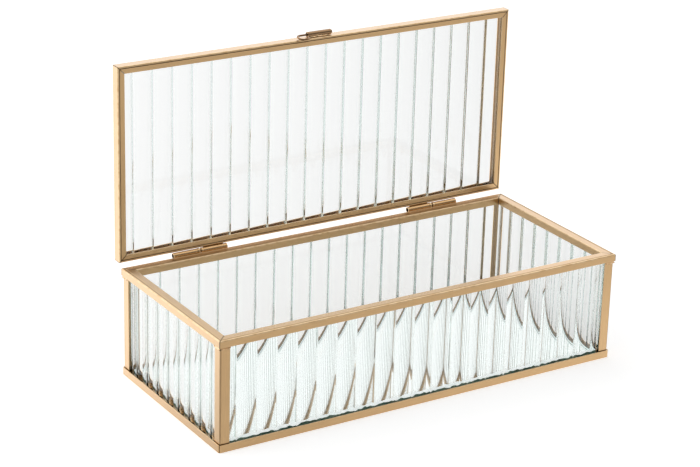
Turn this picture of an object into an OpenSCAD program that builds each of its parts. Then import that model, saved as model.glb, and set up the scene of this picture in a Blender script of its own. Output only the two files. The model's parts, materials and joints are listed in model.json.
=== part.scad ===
// Casket box of fluted glass in a soldered frame of folded metal channel, with its lid open.
// Millimetres, +Z up, +X to the right, the front faces -Y.
// The origin is on the table, under the middle of the whole object with its lid open upright.

/* [Box] */
// Width of the box, left to right
box_w = 200; // [140:1:300]
// Depth of the box, front to back
box_d = 88; // [60:1:160]
// Height of the rim above the table
box_h = 50; // [30:1:90]

/* [Glass] */
// Thickness of a fluted pane at the ridges between its flutes
pane_t = 3; // [2.4:0.1:4]
// Distance from one ridge to the next
flute_pitch = 9.55; // [7:0.05:14]
// Depth of a flute, which is hollow like a shallow gutter
flute_depth = 1.2; // [0.6:0.1:1.3]
// Width of the ridge left between two flutes
flute_land = 0.4; // [0.2:0.1:0.8]
// How far the nearest ridge lies from the middle of each pane
flute_shift = 4; // [0:0.1:6]
// Thickness of the mirror plate in the base
base_t = 3; // [2:0.1:4]
// Clearance between the faces of a pane and the metal
glass_gap = 0.1; // [0.05:0.05:0.3]
// Clearance at the edges of a pane
edge_gap = 0.3; // [0.1:0.1:0.6]

/* [Frame] */
// Thickness of the sheet metal
sheet_t = 0.5; // [0.4:0.05:0.6]
// How far the legs of a channel lap over the glass
channel_leg = 3.3; // [2.5:0.1:5]
// Outside radius of the folds in a channel
fold_r = 0.5; // [0.5:0.05:0.9]
// Distance of the rolled crease from the outer edge of a channel
crease_inset = 1; // [0.9:0.05:1.5]
// Radius of the rolled crease
crease_r = 0.15; // [0.1:0.05:0.25]
// Width of each leg of a corner post
post_leg = 4.6; // [3.5:0.1:6]
// Clearance between a post and the rails that lap over it
post_gap = 0.15; // [0.1:0.05:0.3]
// Height of the solder collar on the head of a post
collar_h = 1.1; // [0.6:0.1:2]
// Height of the foot rails
foot_h = 3.5; // [2.5:0.1:6]
// Width of the foot rails' flange, which carries the glass
flange_w = 8; // [6.5:0.5:14]
// Outside radius of the folded corners of the foot
foot_r = 1; // [0.7:0.05:1.1]

/* [Lid] */
// How far the lid stands open from its closed place
lid_open = 90; // [70:1:100]
// Gap between the closed lid and the rim
lid_gap = 0.5; // [0.3:0.1:1]

/* [Hinges] */
// Distance of each hinge's middle from its end of the box
hinge_inset = 39; // [25:1:45]
// Length of one knuckle tube
knuckle_len = 13; // [8:0.5:18]
// Outside diameter of the knuckle tubes
knuckle_d = 2.6; // [2.4:0.1:3]
// Gap between the two knuckles of a hinge
knuckle_split = 0.6; // [0.3:0.1:1.2]
// Diameter of the hinge pins
pin_d = 1.3; // [1:0.1:1.5]
// Running clearance round a hinge pin
pin_gap = 0.05; // [0.02:0.01:0.08]
// How far a pin stops short of each open end of its hinge
pin_recess = 2; // [0.5:0.5:3]
// How far the solder runs up the frame from the hinge line
solder_reach = 2.6; // [2.2:0.1:3]
// Length of knuckle left bare of solder at each end
solder_inset = 1.5; // [0.5:0.5:3]

/* [Clasp] */
// Place of the clasp tube's middle along the lid's free edge
clasp_x = -0.8; // [-30:0.1:30]
// Length of the clasp tube
clasp_len = 12; // [8:0.5:20]
// Outside diameter of the clasp tube
clasp_d = 2.5; // [2.4:0.1:2.8]
// Height of the clasp tube's axis above the lid's inner face
clasp_rise = 2.6; // [2.2:0.1:3.2]
// Thickness of the clasp wire
wire_d = 0.9; // [0.7:0.05:1]
// Running clearance round the wire in its tube
wire_gap = 0.06; // [0.02:0.01:0.08]
// Width of the wire loop, along the lid's edge
loop_w = 5.6; // [5:0.1:8]
// Reach of the wire loop from the clasp's axis
loop_reach = 4.8; // [4.4:0.1:6]
// Radius of the loop's bends, at the middle of the wire
loop_r = 1.7; // [1.2:0.1:1.9]
// How far the resting loop dips below the clasp's axis, in degrees
loop_dip = 8; // [0:1:9]
// Outside diameter of the eye that the wire ends in
eye_d = 1.5; // [1.3:0.1:1.6]
// Thickness of the flattened wire in the eye
eye_wire_d = 0.5; // [0.4:0.05:0.55]
// Diameter of the head that keeps the wire in its tube
head_d = 1.7; // [1.4:0.1:2]
// Thickness of that head
head_t = 0.5; // [0.3:0.1:1]
// End play of the wire in its tube, at each end
end_play = 0.2; // [0.1:0.05:0.4]

/* [Hidden] */
$fn = 48;

// Layers of a wall, counted inwards from the outer face of the frame
post_set = sheet_t + post_gap;
pane_set = post_set + sheet_t + glass_gap;
pane_back = pane_set + pane_t;
channel_w = pane_back + glass_gap + sheet_t;

// Heights
pane_foot_z = sheet_t;
pane_head_z = box_h - sheet_t - edge_gap;
lid_z = box_h + lid_gap;

// Flutes: a hollow circular arc from ridge to ridge
flute_half = (flute_pitch - flute_land) / 2;
flute_r = pow(flute_half, 2) / (2 * flute_depth) + flute_depth / 2;
flute_fn = 180;

// The open lid stands behind the box, so the middle of the box lies in front of the origin
knuckle_r = knuckle_d / 2;
lid_overhang = knuckle_r + lid_gap / 2 + channel_w;
box_y = -lid_overhang / 2;
front_y = box_y - box_d / 2;
back_y = box_y + box_d / 2;

// Hinge line, tangent to the back faces of box and lid
hinge_x = box_w / 2 - hinge_inset;
hinge_y = back_y + knuckle_r;
hinge_z = box_h + lid_gap / 2;
bore_r = pin_d / 2 + pin_gap;

// Clasp
clasp_r = clasp_d / 2;
wire_r = wire_d / 2;
clasp_y = front_y - clasp_r;
clasp_z = lid_z + clasp_rise;
solder_half = 0.95;
loop_inner_x = -clasp_len / 2 - end_play - wire_r;
loop_outer_x = loop_inner_x - (loop_w - wire_d);
loop_v = loop_reach - wire_r;

brass = "BurlyWood";
brass_dark = "Peru";
clear = [0.8, 0.93, 0.92, 0.45];
silver = "Gainsboro";

// Small overlap that lets a cutter pass a face cleanly
over = 1;

// Frame stock

// Section of the folded channel: web on the line v = 0, legs hanging to v = -channel_leg
module channel_outline(crease_on_web) {
    difference() {
        union() {
            translate([0, -channel_leg]) square([channel_w, channel_leg - fold_r]);
            translate([fold_r, -fold_r]) square([channel_w - 2 * fold_r, fold_r]);
            for (u = [fold_r, channel_w - fold_r]) translate([u, -fold_r]) circle(r = fold_r);
        }
        translate([sheet_t, -channel_leg - over])
            square([channel_w - 2 * sheet_t, channel_leg - sheet_t + over]);
        if (crease_on_web) {
            translate([crease_inset, 0]) circle(r = crease_r, $fn = 24);
        } else {
            for (u = [0, channel_w]) translate([u, -crease_inset]) circle(r = crease_r, $fn = 24);
        }
    }
}

// Section of the foot rail: an outer leg and the flange that the glass stands on
module foot_outline() {
    difference() {
        union() {
            square([sheet_t, foot_h]);
            square([flange_w, sheet_t]);
        }
        difference() {
            square(sheet_t / 2);
            translate([sheet_t / 2, sheet_t / 2]) circle(r = sheet_t / 2, $fn = 24);
        }
    }
}

// Section of a corner post, its outer corner on the origin and its legs along +X and +Y
module post_outline() {
    difference() {
        square(post_leg);
        translate([sheet_t, sheet_t]) square(post_leg);
        difference() {
            square(sheet_t);
            translate([sheet_t, sheet_t]) circle(r = sheet_t);
        }
    }
}

// Plan of one side of the frame: full length on the outside, mitred at both ends
module mitre_plan(length, depth) {
    polygon([
        [-length / 2, 0],
        [length / 2, 0],
        [length / 2 - depth, depth],
        [-length / 2 + depth, depth]
    ]);
}

// A mitred rail along X, its section drawn in the YZ plane from the outer face inwards
module mitred_rail(length, depth, low, high) {
    intersection() {
        translate([-length / 2, 0, 0]) rotate([90, 0, 90]) linear_extrude(length) children();
        translate([0, 0, low]) linear_extrude(high - low) mitre_plan(length, depth);
    }
}

// Puts a side that was drawn at the front in its place: turn 0 front, 90 right, 180 back, -90 left
module on_side(turn) {
    reach = abs(turn) == 90 ? box_w / 2 : box_d / 2;
    translate([0, box_y, 0]) rotate([0, 0, turn]) translate([0, -reach, 0]) children();
}

function side_length(turn) = abs(turn) == 90 ? box_d : box_w;

// Glass

// Section of a fluted pane: the ridges lie on the line y = 0, and the plain face is on y = pane_t
module fluted_outline(width, shift) {
    count = ceil(width / flute_pitch / 2) + 1;
    difference() {
        translate([-width / 2, 0]) square([width, pane_t]);
        for (i = [-count : count])
            translate([shift + (i + 0.5) * flute_pitch, flute_depth - flute_r])
                circle(r = flute_r, $fn = flute_fn);
    }
}

module fluted_pane(width, height, shift) {
    color(clear) linear_extrude(height) fluted_outline(width, shift);
}

// A wall pane stands on the foot's flange and ends inside the rim's channel
module wall_pane(turn, width, shift) {
    on_side(turn) translate([0, pane_set, pane_foot_z])
        fluted_pane(width, pane_head_z - pane_foot_z, shift);
}

module long_wall_pane(turn, shift) {
    wall_pane(turn, box_w - 2 * pane_set, shift);
}

module short_wall_pane(turn, shift) {
    wall_pane(turn, box_d - 2 * pane_back - 2 * edge_gap, shift);
}

module base_mirror() {
    base_w = box_w - 2 * pane_back - 2 * edge_gap;
    base_d = box_d - 2 * pane_back - 2 * edge_gap;
    color(silver) translate([-base_w / 2, box_y - base_d / 2, pane_foot_z])
        cube([base_w, base_d, base_t]);
}

module front_glass() { long_wall_pane(0, flute_shift); }
module back_glass() { long_wall_pane(180, -flute_shift); }
module right_glass() { short_wall_pane(90, flute_shift); }
module left_glass() { short_wall_pane(-90, -flute_shift); }

// Box frame

// Plan of the whole box with its upright corners rounded
module rounded_plan(r) {
    translate([0, box_y]) {
        square([box_w - 2 * r, box_d], center = true);
        square([box_w, box_d - 2 * r], center = true);
        for (x = [-1, 1], y = [-1, 1])
            translate([x * (box_w / 2 - r), y * (box_d / 2 - r)]) circle(r = r);
    }
}

module foot_rail(turn) {
    color(brass) intersection() {
        on_side(turn) mitred_rail(side_length(turn), flange_w, 0, foot_h) foot_outline();
        linear_extrude(foot_h) rounded_plan(foot_r);
    }
}

module foot_front() { foot_rail(0); }
module foot_right() { foot_rail(90); }
module foot_back() { foot_rail(180); }
module foot_left() { foot_rail(-90); }

module rim_rail(turn) {
    color(brass) translate([0, 0, box_h]) on_side(turn)
        mitred_rail(side_length(turn), channel_w, -channel_leg, 0) channel_outline(true);
}

module rim_front() { rim_rail(0); }
module rim_right() { rim_rail(90); }
module rim_back() { rim_rail(180); }
module rim_left() { rim_rail(-90); }

// Copies a corner drawn at the front left, with its legs along +X and +Y, to the corner named by signs
module at_corner(side_x, side_y) {
    translate([0, box_y, 0]) mirror([side_x > 0 ? 1 : 0, 0, 0]) mirror([0, side_y > 0 ? 1 : 0, 0])
        translate([-box_w / 2, -box_d / 2, 0]) children();
}

// A post stands on the flange inside the foot and ends inside the rim's channel
module corner_post(side_x, side_y) {
    color(brass) at_corner(side_x, side_y) translate([post_set, post_set, pane_foot_z])
        linear_extrude(pane_head_z - pane_foot_z) post_outline();
}

module post_front_left() { corner_post(-1, -1); }
module post_front_right() { corner_post(1, -1); }
module post_back_left() { corner_post(-1, 1); }
module post_back_right() { corner_post(1, 1); }

// Solder collars, which join the head of each post to the lower edges of the rim
module post_solder() {
    reach = post_set + post_leg;
    for (x = [-1, 1], y = [-1, 1]) {
        color(brass_dark) at_corner(x, y)
            translate([0, 0, box_h - channel_leg - collar_h]) linear_extrude(collar_h)
                difference() {
                    square(reach);
                    translate([post_set, post_set]) square(reach);
                    difference() {
                        square(post_set);
                        translate([post_set, post_set]) circle(r = post_set);
                    }
                }
    }
}

// Hinges

// Section of one knuckle's solder web, on the side where its frame lies: sense 1 above, -1 below
module solder_outline(sense) {
    polygon([
        [0, 0],
        [-knuckle_r, sense * lid_gap / 2],
        [-knuckle_r, sense * solder_reach],
        [0, sense * knuckle_r]
    ]);
}

// A knuckle along +X from the origin, on the hinge line, soldered to the face at y = -knuckle_r
module knuckle(sense) {
    color(brass_dark) rotate([90, 0, 90]) difference() {
        union() {
            cylinder(r = knuckle_r, h = knuckle_len);
            translate([0, 0, solder_inset]) linear_extrude(knuckle_len - 2 * solder_inset)
                solder_outline(sense);
        }
        translate([0, 0, -over]) cylinder(r = bore_r, h = knuckle_len + 2 * over);
    }
}

module on_hinge_line(x) {
    translate([x, hinge_y, hinge_z]) children();
}

// The box's knuckles are the outer ones, so that the lid can't slide sideways
module fixed_knuckle(side) {
    gap = knuckle_split / 2;
    on_hinge_line(side * hinge_x + (side > 0 ? gap : -gap - knuckle_len)) knuckle(-1);
}

module lid_knuckle(side) {
    gap = knuckle_split / 2;
    lid_in_place() on_hinge_line(side * hinge_x + (side > 0 ? -gap - knuckle_len : gap)) knuckle(1);
}

module hinge_pin(side) {
    length = 2 * knuckle_len + knuckle_split - 2 * pin_recess;
    color(brass_dark) on_hinge_line(side * hinge_x) rotate([0, 90, 0])
        cylinder(d = pin_d, h = length, center = true);
}

module hinge_left_fixed_knuckle() { fixed_knuckle(-1); }
module hinge_right_fixed_knuckle() { fixed_knuckle(1); }
module hinge_left_pin() { hinge_pin(-1); }
module hinge_right_pin() { hinge_pin(1); }
module hinge_left_lid_knuckle() { lid_knuckle(-1); }
module hinge_right_lid_knuckle() { lid_knuckle(1); }

// Lid, drawn closed and then swung open about the hinge line

module lid_in_place() {
    translate([0, hinge_y, hinge_z]) rotate([-lid_open, 0, 0])
        translate([0, -hinge_y, -hinge_z]) children();
}

module lid_rail(turn) {
    color(brass) lid_in_place() translate([0, 0, lid_z]) on_side(turn)
        mitred_rail(side_length(turn), channel_leg, 0, channel_w)
            rotate(90) channel_outline(false);
}

module lid_rail_free() { lid_rail(0); }
module lid_rail_right() { lid_rail(90); }
module lid_rail_hinge() { lid_rail(180); }
module lid_rail_left() { lid_rail(-90); }

// The lid's pane lies midway between the lips, with its flutes upwards and running front to back
module lid_glass() {
    inset = sheet_t + edge_gap;
    lid_in_place()
        translate([0, front_y + inset, lid_z + (channel_w + pane_t) / 2]) rotate([-90, 0, 0])
            fluted_pane(box_w - 2 * inset, box_d - 2 * inset, flute_shift);
}

// Clasp

// Puts what is drawn along X, with the lid's free edge at y = +clasp_r, on the lid
module on_clasp_line() {
    lid_in_place() translate([clasp_x, clasp_y, clasp_z]) children();
}

// A short tube soldered along the middle of the lid's free edge
module clasp_tube() {
    color(brass_dark) on_clasp_line() rotate([90, 0, 90]) difference() {
        union() {
            cylinder(d = clasp_d, h = clasp_len, center = true);
            translate([0, -solder_half, -clasp_len / 2 + solder_inset])
                cube([clasp_r, 2 * solder_half, clasp_len - 2 * solder_inset]);
        }
        cylinder(r = wire_r + wire_gap, h = clasp_len + 2 * over, center = true);
    }
}

// A quarter bend of the wire in the XY plane, round the point given, starting at the angle given
module wire_bend(at, start) {
    translate(at) rotate([0, 0, start]) rotate_extrude(angle = 90)
        translate([loop_r, 0]) circle(r = wire_r, $fn = 32);
}

module wire_along_x(from, to, y) {
    translate([from, y, 0]) rotate([0, 90, 0]) cylinder(r = wire_r, h = to - from, $fn = 32);
}

module wire_along_y(from, to, x) {
    translate([x, from, 0]) rotate([-90, 0, 0]) cylinder(r = wire_r, h = to - from, $fn = 32);
}

// The wire: through the tube from its head, round the loop, and back into a small eye by the tube
module clasp_wire() {
    head_x = clasp_len / 2 + end_play;
    near_x = loop_inner_x;
    far_x = loop_outer_x;
    eye_r = (eye_d - eye_wire_d) / 2;
    eye_y = loop_v / 2;
    wire_along_x(far_x + loop_r, head_x, 0);
    translate([head_x, 0, 0]) rotate([0, 90, 0]) cylinder(d = head_d, h = head_t);
    wire_bend([far_x + loop_r, loop_r], 180);
    wire_along_y(loop_r, loop_v - loop_r, far_x);
    wire_bend([far_x + loop_r, loop_v - loop_r], 90);
    wire_along_x(far_x + loop_r, near_x - loop_r, loop_v);
    wire_bend([near_x - loop_r, loop_v - loop_r], 0);
    wire_along_y(eye_y, loop_v - loop_r, near_x);
    translate([near_x + eye_r, eye_y, 0]) rotate([90, 0, 0]) rotate_extrude()
        translate([eye_r, 0]) circle(d = eye_wire_d, $fn = 24);
}

// The loop lies over the lid's free edge, towards the lid's inner face
module clasp_loop() {
    color(brass) on_clasp_line() rotate([-90 + loop_dip, 0, 0]) clasp_wire();
}

foot_front();
foot_back();
foot_left();
foot_right();
base_mirror();
front_glass();
back_glass();
left_glass();
right_glass();
post_front_left();
post_front_right();
post_back_left();
post_back_right();
rim_front();
rim_back();
rim_left();
rim_right();
post_solder();
hinge_left_fixed_knuckle();
hinge_right_fixed_knuckle();
hinge_left_pin();
hinge_right_pin();
lid_rail_hinge();
lid_rail_free();
lid_rail_left();
lid_rail_right();
lid_glass();
hinge_left_lid_knuckle();
hinge_right_lid_knuckle();
clasp_tube();
clasp_loop();
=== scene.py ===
"""Dresses the glass casket box and photographs it in a white studio.

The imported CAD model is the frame. Each sub-assembly below stands for CAD nodes of the same shape, and adds
what folded sheet, solder and rolled glass show from close by. Lengths are in metres, in the frame's own
axes: +X right, +Y from the front to the hinges, +Z up.
"""

from __future__ import annotations

import json
import logging
import math
from collections.abc import Callable, Sequence
from dataclasses import dataclass, field
from enum import Enum
from itertools import product

import bpy
from bpy.types import Material, Node, NodeSocket, NodeTree, Object
from mathutils import Matrix, Quaternion, Vector, noise

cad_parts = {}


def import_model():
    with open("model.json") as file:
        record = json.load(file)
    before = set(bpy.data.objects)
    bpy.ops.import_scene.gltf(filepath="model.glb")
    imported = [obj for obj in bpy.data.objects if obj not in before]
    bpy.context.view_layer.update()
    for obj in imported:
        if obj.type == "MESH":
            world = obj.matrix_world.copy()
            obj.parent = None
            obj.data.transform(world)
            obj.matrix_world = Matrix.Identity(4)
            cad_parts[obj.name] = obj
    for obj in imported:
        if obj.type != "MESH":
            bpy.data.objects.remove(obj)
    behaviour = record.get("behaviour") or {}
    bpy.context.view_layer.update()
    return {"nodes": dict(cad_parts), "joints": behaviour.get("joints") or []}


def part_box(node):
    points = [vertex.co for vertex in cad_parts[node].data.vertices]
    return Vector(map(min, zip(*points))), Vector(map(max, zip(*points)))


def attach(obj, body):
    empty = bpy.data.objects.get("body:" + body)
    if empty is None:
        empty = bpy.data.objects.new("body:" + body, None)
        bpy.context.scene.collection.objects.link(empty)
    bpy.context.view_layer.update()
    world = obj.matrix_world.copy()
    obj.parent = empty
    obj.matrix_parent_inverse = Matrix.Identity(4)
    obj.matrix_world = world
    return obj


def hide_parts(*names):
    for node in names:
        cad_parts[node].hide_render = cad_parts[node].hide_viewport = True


LOG = logging.getLogger("casket")
MM = 0.001

# The four corners of the box: whether each is on the right, and whether it is at the back
CORNERS = tuple(product((False, True), repeat=2))


# Sizes and places


@dataclass(frozen=True)
class Stock:
    """Sizes of the sheet metal and glass that the whole box is made of."""

    sheet: float = 0.5 * MM
    channel_width: float = 4.85 * MM
    channel_leg: float = 3.3 * MM
    fold_radius: float = 0.5 * MM
    inner_fold: float = 0.12 * MM
    crease_inset: float = 1.0 * MM
    crease_half: float = 0.28 * MM
    crease_depth: float = 0.2 * MM
    lip_radius: float = 0.12 * MM
    foot_height: float = 3.5 * MM
    foot_flange: float = 8.0 * MM
    foot_corner: float = 1.0 * MM
    post_set: float = 0.65 * MM
    post_leg: float = 4.6 * MM
    post_fold: float = 0.5 * MM
    collar_height: float = 1.1 * MM
    flute_pitch: float = 9.55 * MM
    flute_depth: float = 1.2 * MM
    flute_shift: float = 4.0 * MM
    ridge_radius: float = 0.5 * MM


STOCK = Stock()


class Side(Enum):
    """A side of the box, by the turn about +Z that brings the front there."""

    FRONT = 0
    RIGHT = 90
    BACK = 180
    LEFT = -90

    @property
    def word(self) -> str:
        """The side's name as the nodes spell it."""
        return self.name.lower()

    @property
    def turn(self) -> Matrix:
        """The turn as a matrix."""
        return Matrix.Rotation(math.radians(self.value), 4, "Z")

    @property
    def is_short(self) -> bool:
        """Whether the side is one of the box's ends."""
        return self in (Side.LEFT, Side.RIGHT)


@dataclass(frozen=True)
class Plan:
    """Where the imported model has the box, its lid and its hinge line."""

    width: float
    depth: float
    middle_y: float
    rim_z: float
    hinge: Vector

    @classmethod
    def read(cls) -> Plan:
        """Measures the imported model.

        Returns:
            What the drawings need to know of it.
        """
        low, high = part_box("rim_front")
        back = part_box("rim_back")[1].y
        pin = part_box("hinge_left_pin")
        axis = (pin[0] + pin[1]) / 2
        return cls(
            width=high.x - low.x,
            depth=back - low.y,
            middle_y=(back + low.y) / 2,
            rim_z=high.z,
            hinge=Vector((0.0, axis.y, axis.z)),
        )

    def length(self, side: Side) -> float:
        """The outside length of a side."""
        return self.depth if side.is_short else self.width

    def at_side(self, side: Side, height: float) -> Matrix:
        """Places what is drawn along X, from the outer face inwards along +Y, on a side of the box.

        Args:
            side: The side.
            height: The height that the drawing starts from.

        Returns:
            The matrix that takes the drawing there.
        """
        reach = (self.width if side.is_short else self.depth) / 2
        centre = Matrix.Translation((0, self.middle_y, height))
        return centre @ side.turn @ Matrix.Translation((0, -reach, 0))

    def at_corner(self, right: bool, back: bool) -> Matrix:
        """Places what is drawn at the front left corner, with legs along +X and +Y, on a corner.

        Args:
            right: Whether the corner is on the right.
            back: Whether it is at the back.

        Returns:
            The matrix that takes the drawing there.
        """
        flip = Matrix.Diagonal((-1 if right else 1, -1 if back else 1, 1, 1))
        corner = Matrix.Translation((-self.width / 2, -self.depth / 2, 0))
        return Matrix.Translation((0, self.middle_y, 0)) @ flip @ corner

    def on_lid(self) -> Matrix:
        """Swings what is drawn on the closed lid up to the open lid."""
        swing = Matrix.Rotation(math.radians(-90), 4, "X")
        return Matrix.Translation(self.hinge) @ swing @ Matrix.Translation(-self.hinge)

    @property
    def lid_z(self) -> float:
        """Height of the closed lid's inner face."""
        return 2 * self.hinge.z - self.rim_z


# Meshes in the making

FOLD_STEPS = 5
BEND_STEPS = 8
FOLD_GUARD = 0.12 * MM
SHARP_FOLD = 0.3 * MM

# Marks of painted light on metal: from 1 for a painted highlight on a fold to -1 for painted shade in a
# recess, with 0 for none
FULL_HIGHLIGHT = 1.0
STRONG_HIGHLIGHT = 0.9
SOFT_HIGHLIGHT = 0.5
LIGHT_SHADE = -0.3
HALF_SHADE = -0.6
DEEP_SHADE = -0.8
DARK_SHADE = -0.9
FULL_SHADE = -1.0


@dataclass
class Outline:
    """A closed section: its points, and the mark of painted light on the metal at each of them."""

    points: list[Vector] = field(default_factory=list)
    fold: list[float] = field(default_factory=list)

    def add(self, x: float, y: float, fold: float = 0.0) -> None:
        """Adds one point of the section."""
        self.points.append(Vector((x, y)))
        self.fold.append(fold)

    def distances(self) -> list[float]:
        """The distance round the section at each point, with the whole way round at the end.

        Returns:
            One distance more than there are points.
        """
        total = [0.0]
        for here, there in zip(self.points, self.points[1:] + self.points[:1]):
            total.append(total[-1] + (there - here).length)
        return total


def corner_arc(here: Vector, back: Vector, ahead: Vector, radius: float) -> tuple[Vector, Vector, Vector]:
    """Finds the arc that rounds a corner.

    Args:
        here: The corner.
        back: The direction of the corner before it.
        ahead: The direction of the corner after it.
        radius: The arc's radius.

    Returns:
        The arc's centre, and its start and its end as seen from the centre.
    """
    half = back.angle(ahead) / 2
    centre = here + (back + ahead).normalized() * (radius / math.sin(half))
    start = here + back * (radius / math.tan(half)) - centre
    end = here + ahead * (radius / math.tan(half)) - centre
    return centre, start, end


def rounded_outline(corners: Sequence[tuple[float, ...]]) -> Outline:
    """Makes a closed section whose corners are rounded.

    Args:
        corners: Each corner's x and y, the radius that rounds it, and its mark of painted light if it is no
            plain fold.

    Returns:
        The section, with its rounded corners marked for a painted highlight, and a guard point on the flat
        at each side.
    """
    outline = Outline()
    count = len(corners)
    for i, (x, y, radius, *marks) in enumerate(corners):
        if radius <= 0:
            outline.add(x, y, *marks)
            continue
        here = Vector((x, y))
        back = (Vector(corners[i - 1][:2]) - here).normalized()
        ahead = (Vector(corners[(i + 1) % count][:2]) - here).normalized()
        centre, start, end = corner_arc(here, back, ahead, radius)
        sweep = math.atan2(start.x * end.y - start.y * end.x, start.dot(end))
        # A rounded fold gets a painted highlight, full on wide folds and softer on sharp ones
        plain = FULL_HIGHLIGHT if radius > SHARP_FOLD else SOFT_HIGHLIGHT
        fold = marks[0] if marks else plain
        outline.add(*(centre + start + back * FOLD_GUARD))
        for step in range(FOLD_STEPS + 1):
            spoke = Matrix.Rotation(sweep * step / FOLD_STEPS, 2) @ start
            outline.add(centre.x + spoke.x, centre.y + spoke.y, fold)
        outline.add(*(centre + end + ahead * FOLD_GUARD))
    return outline


def unit_circle(steps: int) -> Outline:
    """Makes a round section of radius 1.

    Args:
        steps: How many points it has.

    Returns:
        The section.
    """
    outline = Outline()
    for i in range(steps):
        angle = math.tau * i / steps
        outline.add(math.cos(angle), math.sin(angle))
    return outline


def lump(place: Vector, size: float, height: float, seed: float = 0.0) -> float:
    """Smooth noise that roughens hand-made metal.

    Args:
        place: Where on the piece.
        size: The width of a lump.
        height: The greatest height of a lump.
        seed: A number that gives each piece its own lumps.

    Returns:
        A height between plus and minus the greatest one.
    """
    return height * noise.noise(place / size + Vector((seed, -seed, 0.5 * seed)))


def taper(s: float, length: float, run: float, least: float) -> float:
    """How full a bead of solder is at a distance along it.

    Args:
        s: The distance.
        length: The bead's length.
        run: The length of its rounded ends.
        least: The square of how full its very end is.

    Returns:
        A share that grows to 1 over each end.
    """
    return math.sqrt(max(least, min(1.0, s / run, (length - s) / run)))


def spread(length: float, step: float) -> list[float]:
    """Evenly spaced distances from 0 to a length, about a step apart."""
    count = max(1, round(length / step))
    return [length * i / count for i in range(count + 1)]


@dataclass
class Skin:
    """A mesh in the making: its points, its faces, and what the materials read from them."""

    points: list[Vector] = field(default_factory=list)
    fold: list[float] = field(default_factory=list)
    faces: list[tuple[int, ...]] = field(default_factory=list)
    sheet: list[tuple[tuple[float, float], ...]] = field(default_factory=list)
    smooth: list[bool] = field(default_factory=list)
    finish: list[int] = field(default_factory=list)
    current: int = 0

    def ring(self, points: Sequence[Vector], fold: Sequence[float] | None = None) -> list[int]:
        """Adds a ring of points and returns their places in the mesh.

        Args:
            points: The points.
            fold: A mark of painted light for each of them, or None where none is painted.

        Returns:
            Their places in the mesh.
        """
        start = len(self.points)
        self.points.extend(points)
        self.fold.extend(fold if fold is not None else [0.0] * len(points))
        return list(range(start, len(self.points)))

    def face(self, corners: Sequence[int], sheet: Sequence[tuple[float, float]], smooth: bool) -> None:
        """Adds a face with the sheet coordinates of its corners.

        Args:
            corners: The places of its points in the mesh.
            sheet: The sheet coordinates of its corners.
            smooth: Whether it is shaded smooth.
        """
        self.faces.append(tuple(corners))
        self.sheet.append(tuple(sheet))
        self.smooth.append(smooth)
        self.finish.append(self.current)

    def bridge(
        self,
        first: Sequence[int],
        second: Sequence[int],
        along: tuple[float, float],
        across: Sequence[float],
    ) -> None:
        """Joins two closed rings with smooth faces.

        Args:
            first: The points of one ring.
            second: The points of the next ring.
            along: The sheet's length at each of the two rings.
            across: The distance round a ring at each point, with the whole way round at the end.
        """
        count = len(first)
        for i in range(count):
            j = (i + 1) % count
            corners = (first[i], first[j], second[j], second[i])
            near, far = (along[0], across[i]), (along[0], across[i + 1])
            sheet = (near, far, (along[1], far[1]), (along[1], near[1]))
            self.face(corners, sheet, True)

    def cap(self, ring: Sequence[int], across: Sequence[float], last: bool) -> None:
        """Closes the first or the last ring with one flat face."""
        corners = list(ring) if last else list(reversed(ring))
        self.face(corners, [(0.0, across[i - ring[0]]) for i in corners], False)

    def sweep(
        self,
        outline: Outline,
        stations: Sequence[float],
        place: Callable[[Vector, float], Vector],
        marks: Sequence[float] | None = None,
    ) -> None:
        """Draws a section along a path and closes both ends.

        Args:
            outline: The section.
            stations: The distances along the path at which the section is placed.
            place: Gives the point in space for a point of the section at a distance.
            marks: For each station, a mark that takes the place of the section's own where it is not 0.
        """
        start = len(self.faces)
        across = outline.distances()
        rings = []
        for i, s in enumerate(stations):
            mark = marks[i] if marks else 0.0
            fold = [mark] * len(outline.fold) if mark else outline.fold
            rings.append(self.ring([place(point, s) for point in outline.points], fold))
        for (first, second), along in zip(zip(rings, rings[1:]), zip(stations, stations[1:])):
            self.bridge(first, second, along, across)
        self.cap(rings[0], across, False)
        self.cap(rings[-1], across, True)
        self.face_outwards(start)

    def face_outwards(self, start: int) -> None:
        """Turns the faces of a closed shape outwards, from the given face on.

        Args:
            start: The shape's first face.
        """
        volume = 0.0
        for face in self.faces[start:]:
            corners = [self.points[i] for i in face]
            for second, third in zip(corners[1:], corners[2:]):
                volume += corners[0].dot(second.cross(third))
        if volume < 0:
            for i in range(start, len(self.faces)):
                self.faces[i] = self.faces[i][::-1]
                self.sheet[i] = self.sheet[i][::-1]

    def build(self, name: str, sharp_angle: float = 35.0) -> Object:
        """Makes the Blender object.

        Args:
            name: The piece's name.
            sharp_angle: Edges that bend by more than this many degrees stay crisp.

        Returns:
            The object, linked into the scene.
        """
        mesh = bpy.data.meshes.new(name)
        mesh.from_pydata([tuple(p) for p in self.points], [], self.faces)
        layer = mesh.uv_layers.new(name="sheet")
        corners = [pair for face in self.sheet for pair in face]
        layer.data.foreach_set("uv", [value for pair in corners for value in pair])
        # The marks of painted light, which the brass materials read as painted highlight and painted shade
        wear = mesh.attributes.new("fold", "FLOAT", "POINT")
        wear.data.foreach_set("value", self.fold)
        mesh.polygons.foreach_set("use_smooth", self.smooth)
        mesh.polygons.foreach_set("material_index", self.finish)
        mesh.update()
        mesh.set_sharp_from_angle(angle=math.radians(sharp_angle))
        piece = bpy.data.objects.new(name, mesh)
        bpy.context.scene.collection.objects.link(piece)
        return piece


def along_path(path: Sequence[Vector]) -> list[Matrix]:
    """Frames that travel along a path without twisting.

    Args:
        path: The points of the path.

    Returns:
        A matrix at each point, with its Z along the path.
    """
    frames = []
    side = (path[1] - path[0]).orthogonal().normalized()
    for i, point in enumerate(path):
        ahead = (path[min(i + 1, len(path) - 1)] - path[max(i - 1, 0)]).normalized()
        side = (side - ahead * side.dot(ahead)).normalized()
        up = ahead.cross(side)
        frames.append(Matrix.Translation(point) @ Matrix((side, up, ahead)).transposed().to_4x4())
    return frames


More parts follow.
